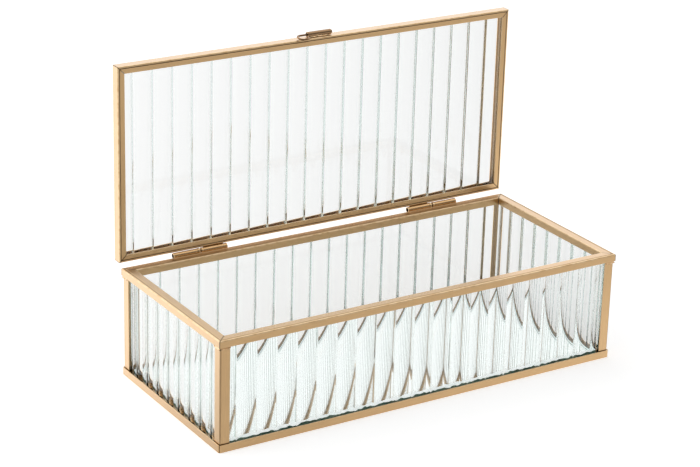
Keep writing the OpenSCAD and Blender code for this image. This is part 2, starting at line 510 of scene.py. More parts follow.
def bent_path(corners: Sequence[Vector], radius: float) -> list[Vector]:
    """Rounds the corners of a path.

    Args:
        corners: The path's corners, with its ends first and last.
        radius: The radius of every bend.

    Returns:
        The points of the rounded path.
    """
    path = [corners[0]]
    for before, here, after in zip(corners, corners[1:], corners[2:]):
        back = (before - here).normalized()
        ahead = (after - here).normalized()
        centre, start, end = corner_arc(here, back, ahead, radius)
        for step in range(BEND_STEPS + 1):
            turn = Quaternion(start.cross(end), start.angle(end) * step / BEND_STEPS)
            path.append(centre + turn @ start)
    path.append(corners[-1])
    return path


def dress(piece: Object, finishes: Sequence[Material], slot: str, body: str, *nodes: str) -> None:
    """Finishes a piece and gives it its place in the frame.

    Args:
        piece: The piece.
        finishes: Its materials, in the order of its faces' numbers.
        slot: The record's material slot. It is not used.
        body: The body it rides on.
        nodes: The CAD nodes that it stands for.
    """
    for finish in finishes:
        piece.data.materials.append(finish)
    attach(piece, body)
    if nodes:
        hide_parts(*nodes)
    LOG.info("built %s on %s", piece.name, body)


# Shader node groups

# What an input takes: a number, a colour or another node's output
Value = float | tuple[float, float, float] | NodeSocket

# Parts of the range that noise fills, most of which lies near 0.5
NOISE_CORE = (0.35, 0.65)
NOISE_WIDE = (0.3, 0.7)
WHOLE = (0.0, 1.0)


class Blend(Enum):
    """What a Mix node mixes: its data type, the places of its two inputs, and the place of its output."""

    NUMBERS = ("FLOAT", 2, 3, 0)
    COLOURS = ("RGBA", 6, 7, 2)


def node(tree: NodeTree, kind: str, **settings: object) -> Node:
    """Adds a shader node and sets its properties.

    Args:
        tree: The node tree.
        kind: The last part of its type's name.
        settings: Its properties.

    Returns:
        The node.
    """
    made = tree.nodes.new(f"ShaderNode{kind}")
    for key, value in settings.items():
        setattr(made, key, value)
    return made


def feed(tree: NodeTree, place: NodeSocket, value: Value) -> None:
    """Puts a number, a colour or another node's output into an input.

    Args:
        tree: The node tree.
        place: The input.
        value: What goes into it.
    """
    if isinstance(value, NodeSocket):
        tree.links.new(value, place)
    elif isinstance(value, tuple):
        place.default_value = (*value, 1.0)
    else:
        place.default_value = value


def fill(tree: NodeTree, made: Node, values: dict[str, Value]) -> Node:
    """Feeds each named input of a node, and returns the node.

    Args:
        tree: The node tree.
        made: The node.
        values: What goes into each of its inputs.

    Returns:
        The same node.
    """
    for name, value in values.items():
        feed(tree, made.inputs[name], value)
    return made


def maths(tree: NodeTree, operation: str, first: Value, second: Value) -> NodeSocket:
    """Adds a Math node and returns its output.

    Args:
        tree: The node tree.
        operation: What it does.
        first: Its first number.
        second: Its second number.

    Returns:
        Its output.
    """
    made = node(tree, "Math", operation=operation)
    feed(tree, made.inputs[0], first)
    feed(tree, made.inputs[1], second)
    return made.outputs[0]


def mix(tree: NodeTree, kind: Blend, factor: NodeSocket, first: Value, second: Value) -> NodeSocket:
    """Mixes two numbers or two colours.

    Args:
        tree: The node tree.
        kind: Which of the two it mixes.
        factor: How much of the second one, from 0 to 1.
        first: The first one.
        second: The second one.

    Returns:
        The mixture.
    """
    data_type, at_first, at_second, result = kind.value
    made = node(tree, "Mix", data_type=data_type)
    feed(tree, made.inputs[0], factor)
    feed(tree, made.inputs[at_first], first)
    feed(tree, made.inputs[at_second], second)
    return made.outputs[result]


def between(
    tree: NodeTree, value: NodeSocket, span: tuple[float, float], to: tuple[float, float]
) -> NodeSocket:
    """Maps a value smoothly from one range to another.

    Args:
        tree: The node tree.
        value: The value.
        span: The values at which the result starts and stops changing.
        to: The results at these two values.

    Returns:
        The result.
    """
    made = node(tree, "MapRange", interpolation_type="SMOOTHSTEP")
    ends = {"From Min": span[0], "From Max": span[1], "To Min": to[0], "To Max": to[1]}
    return fill(tree, made, {"Value": value, **ends}).outputs[0]


def bump(
    tree: NodeTree, height: NodeSocket, distance: float, under: NodeSocket | None = None
) -> NodeSocket:
    """Adds a Bump node.

    Args:
        tree: The node tree.
        height: The height, from 0 to 1.
        distance: The height of 1, in metres.
        under: The normal that it adds to.

    Returns:
        The bumped normal.
    """
    made = fill(tree, node(tree, "Bump"), {"Distance": distance, "Height": height})
    if under is not None:
        feed(tree, made.inputs["Normal"], under)
    return made.outputs[0]


def speckle(tree: NodeTree, place: NodeSocket, settings: dict[str, Value]) -> NodeSocket:
    """Adds a noise texture at a place and returns its output, from 0 to 1."""
    return fill(tree, node(tree, "TexNoise"), {"Vector": place, **settings}).outputs[0]


def effect(tree: NodeTree, group: NodeTree, settings: dict[str, Value]) -> Node:
    """Places a shared group in a material, with the material's own settings."""
    return fill(tree, node(tree, "Group", node_tree=group), settings)


def new_group(name: str, inputs: dict[str, float], outputs: Sequence[str]) -> tuple[NodeTree, Node, Node]:
    """Starts a node group.

    Args:
        name: The group's name.
        inputs: The names of its numbers, with what each is where a material doesn't set it.
        outputs: The names of its results.

    Returns:
        The group, with its input node and its output node.
    """
    group = bpy.data.node_groups.new(name, "ShaderNodeTree")
    for key, default in inputs.items():
        made = group.interface.new_socket(name=key, in_out="INPUT", socket_type="NodeSocketFloat")
        made.default_value = default
    for key in outputs:
        group.interface.new_socket(name=key, in_out="OUTPUT", socket_type="NodeSocketFloat")
    return group, group.nodes.new("NodeGroupInput"), group.nodes.new("NodeGroupOutput")


@dataclass(frozen=True)
class GroupKit:
    """The effects that more than one material uses, each built once."""

    grain: NodeTree
    wear: NodeTree
    ripple: NodeTree

    @classmethod
    def make(cls) -> GroupKit:
        """Builds every group."""
        return cls(grain=rolling_grain(), wear=handling_wear(), ripple=rolled_ripple())


def rolling_grain() -> NodeTree:
    """The fine lengthwise lines that rolling and brushing leave on sheet.

    Returns:
        A group with the inputs Fineness and Stretch and the outputs Lines and Clouds, each from 0 to 1.
    """
    numbers = {"Fineness": 4000.0, "Stretch": 0.02}
    group, given, out = new_group("Rolling grain", numbers, ("Lines", "Clouds"))
    place = node(group, "TexCoord")
    parts = node(group, "SeparateXYZ")
    feed(group, parts.inputs[0], place.outputs["UV"])
    along = maths(group, "MULTIPLY", parts.outputs["X"], given.outputs["Fineness"])
    across = maths(group, "MULTIPLY", parts.outputs["Y"], given.outputs["Fineness"])
    drawn_out = maths(group, "MULTIPLY", along, given.outputs["Stretch"])
    sheet = fill(group, node(group, "CombineXYZ"), {"X": drawn_out, "Y": across})
    lines = speckle(group, sheet.outputs[0], {"Scale": 1.0, "Detail": 3.0})
    clouds = speckle(group, place.outputs["Object"], {"Scale": 120.0, "Detail": 4.0})
    fill(group, out, {"Lines": lines, "Clouds": clouds})
    return group


def handling_wear() -> NodeTree:
    """Painted light on metal: a painted highlight along folds, which also stands for brass polished by
    handling, and painted shade in recesses.

    Returns:
        A group with the inputs Amount and Scale, and two outputs, the painted highlight and the painted
        shade, each from 0 to 1.
    """
    group, given, out = new_group("Handling wear", {"Amount": 0.6, "Scale": 350.0}, ("Rubbed", "Tarnished"))
    fold = node(group, "Attribute", attribute_name="fold").outputs["Fac"]
    place = node(group, "TexCoord").outputs["Object"]
    patches = speckle(group, place, {"Scale": given.outputs["Scale"], "Detail": 5.0, "Roughness": 0.6})
    broken = between(group, patches, (0.3, 0.6), WHOLE)
    # The painted highlight along folds, broken up in patches, and the painted shade in recesses, a little
    # uneven
    on_fold = maths(group, "MULTIPLY", maths(group, "MAXIMUM", fold, 0.0), broken)
    recess = maths(group, "MAXIMUM", maths(group, "MULTIPLY", fold, -1.0), 0.0)
    uneven = between(group, patches, (0.2, 0.7), (0.75, 1.0))
    rubbed = maths(group, "MULTIPLY", on_fold, given.outputs["Amount"])
    fill(group, out, {"Rubbed": rubbed, "Tarnished": maths(group, "MULTIPLY", recess, uneven)})
    return group


def rolled_ripple() -> NodeTree:
    """The faint unevenness of glass that was rolled, not floated.

    Returns:
        A group with the input Scale and the output Height, from 0 to 1.
    """
    group, given, out = new_group("Rolled ripple", {"Scale": 60.0}, ("Height",))
    place = node(group, "TexCoord").outputs["Object"]
    fill(group, out, {"Height": speckle(group, place, {"Scale": given.outputs["Scale"], "Detail": 1.0})})
    return group


# Finishes


def first_of(tree: NodeTree, kind: str) -> Node:
    """The node of a kind that a new tree comes with."""
    return next(n for n in tree.nodes if n.type == kind)


def new_material(name: str) -> tuple[Material, NodeTree, Node]:
    """Starts a material and returns it with its tree and its Principled shader.

    Args:
        name: The material's name.

    Returns:
        The material, with its tree and its Principled shader.
    """
    material = bpy.data.materials.new(name)
    material.use_nodes = True
    return material, material.node_tree, first_of(material.node_tree, "BSDF_PRINCIPLED")


@dataclass(frozen=True)
class BrassFinish:
    """Brass-coloured metal with fine rolling lines, a painted highlight on folds that also stands for brass
    polished by handling, painted shade in recesses, and a clear lacquer.
    """

    name: str
    colour: tuple[float, float, float]
    # The second colour is the painted highlight on folds, the third the painted shade in recesses
    rubbed: tuple[float, float, float]
    tarnish: tuple[float, float, float] = (0.07, 0.045, 0.025)
    streak: float = 0.9
    roughness: float = 0.33
    rough_spread: float = 0.03
    fineness: float = 5000.0
    line_height: float = 0.003 * MM
    lump_height: float = 0.0
    # How strong the painted highlight on folds is
    wear: float = 0.5
    lacquer: float = 1.0
    lacquer_roughness: float = 0.25

    def make(self, kit: GroupKit) -> Material:
        """Builds the material.

        Args:
            kit: The shared node groups.

        Returns:
            The material.
        """
        material, tree, shader = new_material(self.name)
        grain = effect(tree, kit.grain, {"Fineness": self.fineness}).outputs
        wear = effect(tree, kit.wear, {"Amount": self.wear}).outputs
        streak = tuple(self.streak * part for part in self.colour)
        lines = between(tree, grain["Lines"], NOISE_CORE, WHOLE)
        sheet = mix(tree, Blend.COLOURS, lines, self.colour, streak)
        # Painted highlight on folds, then painted shade in recesses, where the lacquer is thinned too
        with_highlight = mix(tree, Blend.COLOURS, wear["Rubbed"], sheet, self.rubbed)
        painted_colour = mix(tree, Blend.COLOURS, wear["Tarnished"], with_highlight, self.tarnish)
        unshaded = maths(tree, "SUBTRACT", 1.0, wear["Tarnished"])
        rough = (self.roughness - self.rough_spread, self.roughness + self.rough_spread)
        normal = bump(tree, grain["Lines"], self.line_height)
        if self.lump_height:
            normal = bump(tree, grain["Clouds"], self.lump_height, normal)
        looks = {
            "Base Color": painted_colour,
            "Metallic": 1.0,
            "Roughness": between(tree, grain["Clouds"], NOISE_WIDE, rough),
            "Coat Weight": maths(tree, "MULTIPLY", unshaded, self.lacquer),
            "Coat Roughness": self.lacquer_roughness,
            "Normal": normal,
        }
        fill(tree, shader, looks)
        return material


@dataclass(frozen=True)
class GlassFinish:
    """Clear soda glass that tints light by how far it travels inside."""

    name: str
    depth_colour: tuple[float, float, float] = (0.38, 0.78, 0.66)
    depth_density: float = 11.0
    ior: float = 1.52
    roughness: float = 0.0
    ripple_scale: float = 70.0
    ripple_height: float = 0.0006 * MM

    def make(self, kit: GroupKit) -> Material:
        """Builds the material.

        Args:
            kit: The shared node groups.

        Returns:
            The material.
        """
        material, tree, shader = new_material(self.name)
        ripple = effect(tree, kit.ripple, {"Scale": self.ripple_scale})
        looks = {
            "Base Color": (1.0, 1.0, 1.0),
            "Metallic": 0.0,
            "Transmission Weight": 1.0,
            "Roughness": self.roughness,
            "IOR": self.ior,
            "Normal": bump(tree, ripple.outputs["Height"], self.ripple_height),
        }
        fill(tree, shader, looks)
        tint = {"Color": self.depth_colour, "Density": self.depth_density}
        inside = fill(tree, node(tree, "VolumeAbsorption"), tint)
        feed(tree, first_of(tree, "OUTPUT_MATERIAL").inputs["Volume"], inside.outputs[0])
        return material


@dataclass(frozen=True)
class SilverFinish:
    """The silver layer under the mirror plate, with a few faint clouds."""

    name: str = "mirror silver"
    colour: tuple[float, float, float] = (0.93, 0.94, 0.94)
    cloud: float = 0.97
    roughness: float = 0.015

    def make(self, kit: GroupKit) -> Material:
        """Builds the material from the shared groups.

        Args:
            kit: The shared node groups.

        Returns:
            The material.
        """
        material, tree, shader = new_material(self.name)
        clouds = effect(tree, kit.grain, {}).outputs["Clouds"]
        clouded = tuple(self.cloud * part for part in self.colour)
        mixed = mix(tree, Blend.COLOURS, clouds, self.colour, clouded)
        fill(tree, shader, {"Base Color": mixed, "Metallic": 1.0, "Roughness": self.roughness})
        return material


@dataclass(frozen=True)
class PaintFinish:
    """A matt, faintly lined surface: the mirror's painted back, and the plate's cut and ground edges, which
    glow as painted light for the light that comes through the glass.
    """

    name: str
    colour: tuple[float, float, float]
    shade: tuple[float, float, float]
    roughness: float = 0.6
    glow: float = 0.0
    fineness: float = 2500.0
    line_height: float = 0.01 * MM

    def make(self, kit: GroupKit) -> Material:
        """Builds the material.

        Args:
            kit: The shared node groups.

        Returns:
            The material.
        """
        material, tree, shader = new_material(self.name)
        grain = effect(tree, kit.grain, {"Fineness": self.fineness}).outputs
        clouds = between(tree, grain["Clouds"], NOISE_CORE, WHOLE)
        mixed = mix(tree, Blend.COLOURS, clouds, self.colour, self.shade)
        looks = {
            "Base Color": mixed,
            # The emission is painted light, used only on the plate's edges
            "Emission Color": mixed,
            "Emission Strength": self.glow,
            "Roughness": self.roughness,
            "Normal": bump(tree, grain["Lines"], self.line_height),
        }
        fill(tree, shader, looks)
        return material


@dataclass(frozen=True)
class Finishes:
    """Every material of the object."""

    brass: Material
    tube: Material
    clasp_tube: Material
    solder: Material
    wire: Material
    fluted: Material
    plate: Material
    cut_edge: Material
    ground_edge: Material
    silver: Material
    backing: Material

    @classmethod
    def make(cls) -> Finishes:
        """Builds the materials from the shared groups.

        Returns:
            Every material, ready for the pieces.
        """
        kit = GroupKit.make()
        recipes = {
            # The second colour of each brass is the painted highlight on its folds; the solder's, nearly
            # cream, is the brightest
            "brass": BrassFinish("sheet brass", (0.62, 0.39, 0.175), (0.92, 0.72, 0.44)),
            "tube": BrassFinish("drawn brass", (0.64, 0.39, 0.17), (0.92, 0.72, 0.44), roughness=0.2),
            # The clasp's tube is a darker copy of the tube brass: painted shade
            "clasp_tube": BrassFinish(
                "darkened brass", (0.30, 0.17, 0.07), (0.62, 0.38, 0.17), roughness=0.18
            ),
            "solder": BrassFinish(
                "soldered brass",
                (0.56, 0.32, 0.13),
                (0.98, 0.88, 0.64),
                roughness=0.22,
                fineness=1500.0,
                lump_height=0.15 * MM,
                wear=0.9,
            ),
            # The clasp's wire is darker still than its tube: painted shade
            "wire": BrassFinish(
                "brass wire", (0.24, 0.13, 0.055), (0.5, 0.3, 0.14), roughness=0.16, lacquer=0.4
            ),
            "fluted": GlassFinish("fluted glass"),
            "plate": GlassFinish("mirror plate"),
            # The plate's edges are paint with a glow: painted light for light seen through the glass edges,
            # teal on the cut sides and nearly white on the ground strips
            "cut_edge": PaintFinish("cut edge", (0.07, 0.17, 0.14), (0.20, 0.33, 0.27), 0.4, glow=0.15),
            "ground_edge": PaintFinish(
                "ground edge", (0.93, 0.97, 0.97), (0.86, 0.93, 0.92), 0.4, glow=0.6
            ),
            "silver": SilverFinish(),
            "backing": PaintFinish("mirror backing", (0.24, 0.25, 0.26), (0.19, 0.2, 0.21)),
        }
        return cls(**{place: recipe.make(kit) for place, recipe in recipes.items()})


# Glass


@dataclass
class FlutedPane:
    """A pane with hollow flutes on one face, standing for one CAD pane."""

    node: str
    body: str
    side: Side
    depth: float = STOCK.flute_depth
    flute_steps: int = 26
    ridge_steps: int = 4

    def profile(self) -> list[tuple[float, float]]:
        """The fluted face from one ridge line to just before the next.

        Returns:
            Distances from the ridge line, each with the depth below the ridges.
        """
        half = STOCK.flute_pitch / 2
        ridge = STOCK.ridge_radius
        flute = half**2 / (2 * self.depth) + self.depth / 2 - ridge
        tilt = math.asin(half / (flute + ridge))
        found = []
        for i in range(self.ridge_steps):
            angle = tilt * i / self.ridge_steps
            found.append((ridge * math.sin(angle), ridge - ridge * math.cos(angle)))
        for i in range(self.flute_steps + 1):
            angle = tilt * (2 * i / self.flute_steps - 1)
            depth = self.depth - flute + flute * math.cos(angle)
            found.append((half + flute * math.sin(angle), depth))
        mirrored = [(STOCK.flute_pitch - across, depth) for across, depth in found[1 : self.ridge_steps]]
        return found + mirrored[::-1]

    def face_points(self, width: float) -> list[tuple[float, float]]:
        """The whole fluted face.

        Args:
            width: The pane's width.

        Returns:
            Distances from the pane's middle, each with the depth below the ridges.
        """
        shift = STOCK.flute_shift * (-1 if self.side in (Side.BACK, Side.LEFT) else 1)
        reach = math.ceil(width / STOCK.flute_pitch / 2) + 1
        points = []
        for k in range(-reach, reach):
            for across, depth in self.profile():
                points.append((shift + k * STOCK.flute_pitch + across, depth))
        inside = [p for p in points if abs(p[0]) < width / 2]
        before = [p for p in points if p[0] <= -width / 2][-1]
        after = next(p for p in points if p[0] >= width / 2)
        return [(-width / 2, before[1]), *inside, (width / 2, after[1])]

    def build(self) -> Object:
        """Builds the pane in its place.

        Returns:
            The pane.
        """
        low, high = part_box(self.node)
        size = high - low
        width, thick = (size.y, size.x) if self.side.is_short else (size.x, size.y)
        middle = (low + high) / 2
        middle.z = low.z
        corner = Matrix.Translation(middle) @ self.side.turn @ Matrix.Translation((0, -thick / 2, 0))
        face = self.face_points(width)
        skin = Skin()
        rows = []
        for height in (0.0, size.z):
            fluted = [corner @ Vector((x, depth, height)) for x, depth in face]
            plain = [corner @ Vector((x, thick, height)) for x, depth in face]
            rows.append((skin.ring(fluted), skin.ring(plain)))
        (low_fluted, low_plain), (high_fluted, high_plain) = rows
        last = len(face) - 1
        for i in range(last):
            j = i + 1
            here, there = face[i][0], face[j][0]
            sheet = ((here, 0), (there, 0), (there, size.z), (here, size.z))
            skin.face((low_fluted[i], low_fluted[j], high_fluted[j], high_fluted[i]), sheet, True)
            skin.face((low_plain[j], low_plain[i], high_plain[i], high_plain[j]), sheet, False)
            skin.face((low_plain[i], low_plain[j], low_fluted[j], low_fluted[i]), sheet, False)
            skin.face((high_fluted[i], high_fluted[j], high_plain[j], high_plain[i]), sheet, False)
        sheet = ((0, 0), (thick, 0), (thick, size.z), (0, size.z))
        skin.face((low_plain[0], low_fluted[0], high_fluted[0], high_plain[0]), sheet, False)
        skin.face((low_fluted[last], low_plain[last], high_plain[last], high_fluted[last]), sheet, False)
        return skin.build(f"{self.node}_fluted", sharp_angle=50.0)


class PlateFace(Enum):
    """The faces of the mirror plate, by the place of their finish."""

    CLEAR = 0
    SILVERED = 1
    CUT = 2
    GROUND = 3

    @classmethod
    def facing(cls, rise: float, level: float = 0.9, upright: float = 0.1) -> PlateFace:
        """Tells a face by the way it looks.

        Args:
            rise: The height of its unit normal.
            level: The rise from which a face is level.
            upright: The rise up to which a face is upright.

        Returns:
            The kind of face.
        """
        if rise < -level:
            return cls.SILVERED
        if abs(rise) < upright:
            return cls.CUT
        return cls.GROUND if rise < level else cls.CLEAR


@dataclass
class MirrorBase:
    """The plate in the base: clear glass, silvered and painted on its underside."""

    finishes: Finishes
    node: str = "base_mirror"
    layer: float = 0.06 * MM
    bevel: float = 0.75 * MM
    chip: float = 0.7 * MM
    chip_length: float = 1.9 * MM
    step: float = 0.8 * MM

    def build(self) -> None:
        """Builds the plate and the layer under it."""
        low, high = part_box(self.node)
        plate = self.slab("base_mirror_plate", low + Vector((0, 0, 2 * self.layer)), high, chip=self.chip)
        made = self.finishes
        dress(plate, (made.plate, made.silver, made.cut_edge, made.ground_edge), "mirror", "box", self.node)
        for polygon in plate.data.polygons:
            polygon.material_index = PlateFace.facing(polygon.normal.z).value
        top = Vector((high.x, high.y, low.z + self.layer))
        backing = self.slab("base_mirror_backing", low, top, inset=self.bevel)
        dress(backing, (made.backing,), "mirror", "box")

    def slab(
        self, name: str, low: Vector, high: Vector, inset: float = 0.0, chip: float = 0.0
    ) -> Object:
        """Builds a flat plate with ground edges.

        Args:
            name: The piece's name.
            low: Its lowest corner.
            high: Its highest corner.
            inset: How far its edges lie inside these corners.
            chip: How much the ground strip along its upper edge wavers in width.

        Returns:
            The plate.
        """
        thick = high.z - low.z
        ground = min(self.bevel, thick / 3)
        skin = Skin()
        rings = []
        # The four rings from the underside up, with the arguments of edge()
        for height, back, sink, wander in (
            (0.0, ground, 0.0, 0.0),
            (ground, 0.0, 0.0, 0.0),
            (thick - ground, 0.0, chip, 0.0),
            (thick, ground, 0.0, chip),
        ):
            rings.append(skin.ring(self.edge(low, high, height, inset + back, sink, wander)))
        across = [i * self.step for i in range(len(rings[0]) + 1)]
        for i, (lower, upper) in enumerate(zip(rings, rings[1:])):
            skin.bridge(lower, upper, (i * thick, (i + 1) * thick), across)
        skin.cap(rings[0], across, False)
        skin.cap(rings[-1], across, True)
        skin.face_outwards(0)
        return skin.build(name, sharp_angle=20.0)

    def edge(
        self, low: Vector, high: Vector, height: float, back: float, sink: float, wander: float
    ) -> list[Vector]:
        """A ring of points that follows the plate's edge.

        Args:
            low: The plate's lowest corner.
            high: The plate's highest corner.
            height: The ring's height above the plate's underside.
            back: How far the ring lies inside the plate's edges.
            sink: How much its height wavers.
            wander: How much its distance from the edges wavers.

        Returns:
            The points.
        """
        corners = [Vector(c) for c in ((low.x, low.y), (high.x, low.y), (high.x, high.y), (low.x, high.y))]
        points = []
        for here, there in zip(corners, corners[1:] + corners[:1]):
            length = (there - here).length
            for s in spread(length, self.step)[:-1]:
                spot = here.lerp(there, s / length)
                waver = lump(Vector((spot.x, spot.y, 0.0)), self.chip_length, 1.0)
                inset = back + wander * waver
                x = min(max(spot.x, low.x + inset), high.x - inset)
                y = min(max(spot.y, low.y + inset), high.y - inset)
                points.append(Vector((x, y, low.z + height - sink * waver)))
        return points


@dataclass
class Glazing:
    """All the panes of the box and its lid, and the mirror in its base."""

    finishes: Finishes
    shallow: float = 1.1 * MM

    def build(self) -> None:
        """Builds and dresses the panes, those on the far side and in the lid a little shallower."""
        panes = []
        for side in Side:
            depth = self.shallow if side in (Side.BACK, Side.RIGHT) else STOCK.flute_depth
            panes.append(FlutedPane(f"{side.word}_glass", "box", side, depth))
        panes.append(FlutedPane("lid_glass", "lid", Side.BACK, self.shallow))
        for pane in panes:
            dress(pane.build(), (self.finishes.fluted,), "fluted_glass", pane.body, pane.node)
        MirrorBase(self.finishes).build()


# Frame of folded sheet


def crease_on_height(inward: float, height: float, into: float) -> list[tuple[float, ...]]:
    """The corners of a crease that runs along a level face, with painted shade in its groove, given in the
    order of growing inward distance.

    Args:
        inward: The crease's distance from the outer face.
        height: The face's height.
        into: The sign of the direction into the metal.

    Returns:
        Corners for rounded_outline.
    """
    half, deep = STOCK.crease_half, into * STOCK.crease_depth
    return [
        (inward - half, height, 0.0),
        # Painted shade down into the groove
        (inward - half / 2, height + 0.8 * deep, 0.0, DEEP_SHADE),
        (inward, height + deep, 0.0, FULL_SHADE),
        (inward + half / 2, height + 0.8 * deep, 0.0, DEEP_SHADE),
        (inward + half, height, 0.0),
    ]


def rim_section() -> Outline:
    """The rim's channel: distances inwards from the outer face, and heights below the rim's top.

    Returns:
        The section.
    """
    width, leg, sheet = STOCK.channel_width, STOCK.channel_leg, STOCK.sheet
    fold, inner, lip = STOCK.fold_radius, STOCK.inner_fold, STOCK.lip_radius
    corners = [(0.0, -leg, lip), (0.0, 0.0, fold)]
    corners += crease_on_height(STOCK.crease_inset, 0.0, -1.0)
    corners += [(width, 0.0, fold), (width, -leg, lip), (width - sheet, -leg, lip)]
    corners += [(width - sheet, -sheet, inner), (sheet, -sheet, inner), (sheet, -leg, lip)]
    return rounded_outline(corners)


def lid_section() -> Outline:
    """The lid's channel: distances inwards from the outer face, and heights above the lid's inner face.

    Returns:
        The section.
    """
    width, leg, sheet = STOCK.channel_width, STOCK.channel_leg, STOCK.sheet
    fold, inner, lip = STOCK.fold_radius, STOCK.inner_fold, STOCK.lip_radius
    under = crease_on_height(STOCK.crease_inset, 0.0, 1.0)
    over = crease_on_height(STOCK.crease_inset, width, -1.0)
    corners = [(leg, 0.0, lip), *reversed(under), (0.0, 0.0, fold), (0.0, width, fold), *over]
    corners += [(leg, width, lip), (leg, width - sheet, lip), (sheet, width - sheet, inner)]
    corners += [(sheet, sheet, inner), (leg, sheet, lip)]
    return rounded_outline(corners)


def foot_section() -> Outline:
    """The foot's angle: an outer leg, and the flange that the glass stands on, with painted shade where it
    is shut in.

    Returns:
        The section.
    """
    sheet, lip, tall = STOCK.sheet, STOCK.lip_radius, STOCK.foot_height
    # Painted shade at the leg's inner lip, in the inner fold and at the flange's edge
    at_lip, at_flange = -0.4, -0.55
    corners = [(0.0, 0.0, sheet / 2), (0.0, tall, lip), (sheet, tall, lip, at_lip)]
    corners += [(sheet, sheet, STOCK.inner_fold, HALF_SHADE), (STOCK.foot_flange, sheet, lip, at_flange)]
    corners += [(STOCK.foot_flange, 0.0, lip)]
    return rounded_outline(corners)


@dataclass
class MitredRail:
    """One rail of a mitred frame, drawn along X from its outer face inwards."""

    name: str
    outline: Outline
    length: float
    matrix: Matrix
    bend: float = 0.0
    bend_steps: int = 5
    seam: float = 0.06 * MM
    waviness: float = 0.014 * MM
    wave_length: float = 18 * MM
    calm_end: float = 8 * MM
    least_end: float = 0.3 * MM
    # Distances from each end of the stations that carry painted shade
    dark_end: tuple[float, float] = (0.25 * MM, 0.17 * MM)
    step: float = 4 * MM

    def place(self, point: Vector, s: float) -> Vector:
        """Places a point of the section at a distance from the rail's middle.

        Args:
            point: The distance inwards and the height.
            s: The distance along the rail's outer face.

        Returns:
            The point in space.
        """
        half = self.length / 2
        inward, height = point
        over = abs(s) - (half - self.bend)
        if inward < self.bend and over > 0:
            angle = over / self.bend * math.pi / 4
            reach = half - self.bend + (self.bend - inward) * math.sin(angle)
            inward = self.bend - (self.bend - inward) * math.cos(angle)
            x = math.copysign(reach, s)
        elif inward < self.bend:
            x = s
        else:
            x = s / half * (half - inward)
        # The seam shortens the rail at both ends, and leaves its middle where it is
        x -= math.copysign(self.seam, s) * min(1.0, 4 * abs(s) / half)
        spot = Vector((s, 3 * height, 3 * inward))
        wave = lump(spot, self.wave_length, self.waviness, len(self.name) + self.length)
        fade = min(1.0, (half - abs(s)) / self.calm_end)
        inward += fade * (wave + self.waviness) / 2
        return self.matrix @ Vector((x, inward, height))

    def stations(self) -> list[float]:
        """Places along the rail, closer together in the bends at its ends.

        Returns:
            Distances from the rail's middle.
        """
        half = self.length / 2
        straight = half - max(self.bend, self.least_end)
        found = [s - straight for s in spread(2 * straight, self.step)]
        steps = self.bend_steps if self.bend else 1
        ends = [straight + (half - straight) * (i + 1) / steps for i in range(steps)]
        ends[-1:] = [*(half - inset for inset in self.dark_end), half]
        return [-s for s in reversed(ends)] + found + ends

    def build(self) -> Object:
        """Builds the rail, with painted shade along its cut ends, in the mitre seams.

        Returns:
            The rail.
        """
        skin = Skin()
        stations = self.stations()
        # Painted shade on the stations nearest each cut end
        cut = [DARK_SHADE] * len(self.dark_end)
        marks = [*cut, *[0.0] * (len(stations) - 2 * len(cut)), *cut]
        skin.sweep(self.outline, stations, self.place, marks)
        return skin.build(self.name)


@dataclass
class CornerPost:
    """One corner post: an angle with a rounded outer fold, drawn at the front left corner and flipped."""

    plan: Plan
    right: bool
    back: bool
    tremor: float = 0.02 * MM
    tremor_length: float = 14 * MM
    grime_height: float = 0.15 * MM
    grime_fade: float = 0.1 * MM
    step: float = 3 * MM

    @property
    def node(self) -> str:
        """The name of the post's CAD node."""
        return f"post_{'back' if self.back else 'front'}_{'right' if self.right else 'left'}"

    def section(self) -> Outline:
        """The post's angle, seen from above.

        Returns:
            The section.
        """
        leg, sheet, lip = STOCK.post_leg, STOCK.sheet, STOCK.lip_radius
        # The outer fold carries painted shade, a dark line down the corner
        corners = [(0.0, 0.0, STOCK.post_fold, -0.5), (leg, 0.0, lip), (leg, sheet, lip)]
        corners += [(sheet, sheet, STOCK.inner_fold), (sheet, leg, lip), (0.0, leg, lip)]
        return rounded_outline(corners)

    def build(self) -> Object:
        """Builds the post, with painted shade where it stands in the foot.

        Returns:
            The post.
        """
        low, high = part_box(self.node)
        inset = Matrix.Translation((STOCK.post_set, STOCK.post_set, low.z))
        place = self.plan.at_corner(self.right, self.back) @ inset
        seed = 7.0 * self.right + 3.0 * self.back

        def at(point: Vector, s: float) -> Vector:
            """Places a point of the section, a little out of true."""
            wave = self.tremor + lump(Vector((point.x, point.y, s)), self.tremor_length, self.tremor, seed)
            return place @ Vector((point.x + wave / 2, point.y + wave / 2, s))

        # Painted shade from the post's foot to a little above the foot rail, for the dark gap between them
        dark = STOCK.foot_height + self.grime_height - low.z
        unshaded_from = dark + self.grime_fade
        stations = [0.0, dark, *[unshaded_from + s for s in spread(high.z - low.z - unshaded_from, self.step)]]
        marks = [DARK_SHADE if s <= dark else 0.0 for s in stations]
        skin = Skin()
        skin.sweep(self.section(), stations, at, marks)
        return skin.build(f"{self.node}_folded")


